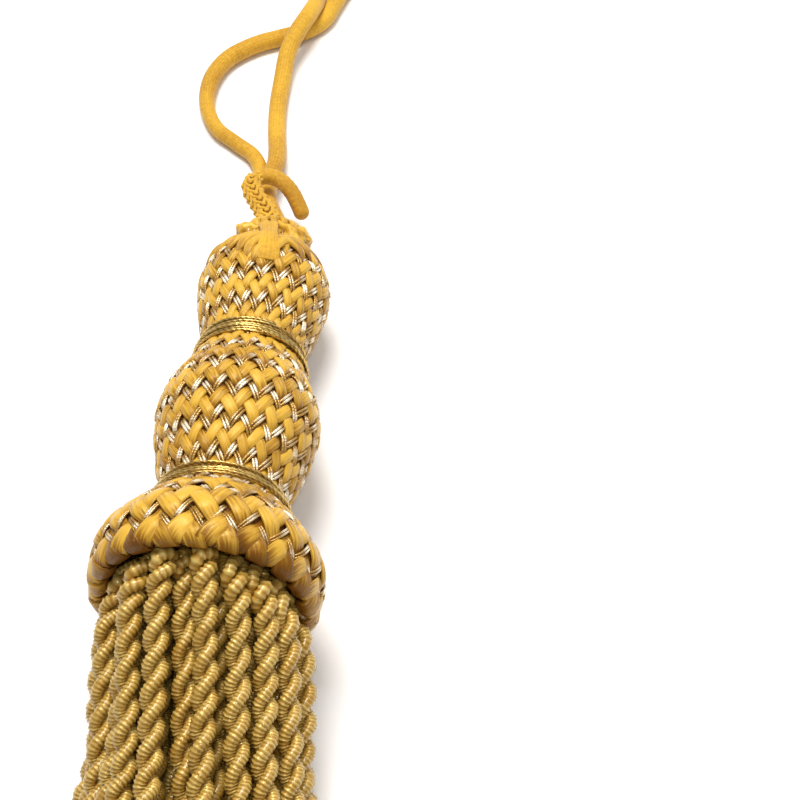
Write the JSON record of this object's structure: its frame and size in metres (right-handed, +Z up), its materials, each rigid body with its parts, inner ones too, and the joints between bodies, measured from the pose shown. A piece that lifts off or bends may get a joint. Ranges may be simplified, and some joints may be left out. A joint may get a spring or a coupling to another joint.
{
  "type": "tassel",
  "caption": "Tassel lying on its side: a braid-covered head of two bulbs and a flared skirt, twisted bullion fringe from its mouth, and a knitted tie cord with a hooked end.",
  "frame": {"origin": "middle of head and fringe together, on the surface that they lie on", "axes": "+Y along the tassel from the fringe's ends to the top of the head, +Z up from the surface"},
  "size_m": [0.0475, 0.2644, 0.0319],
  "materials": {
    "braid": "braided ribbon and thread, satin",
    "binding": "thin wound cord with a dull shine",
    "fringe": "twisted yarn, satin",
    "cord": "knitted yarn, soft satin"
  },
  "bodies": {
    "root": {"head_cover": "braid", "upper_binding": "binding", "lower_binding": "binding", "bullion_fringe": "fringe", "tie_cord": "cord", "hook_cord": "cord"}
  },
  "joints": []
}
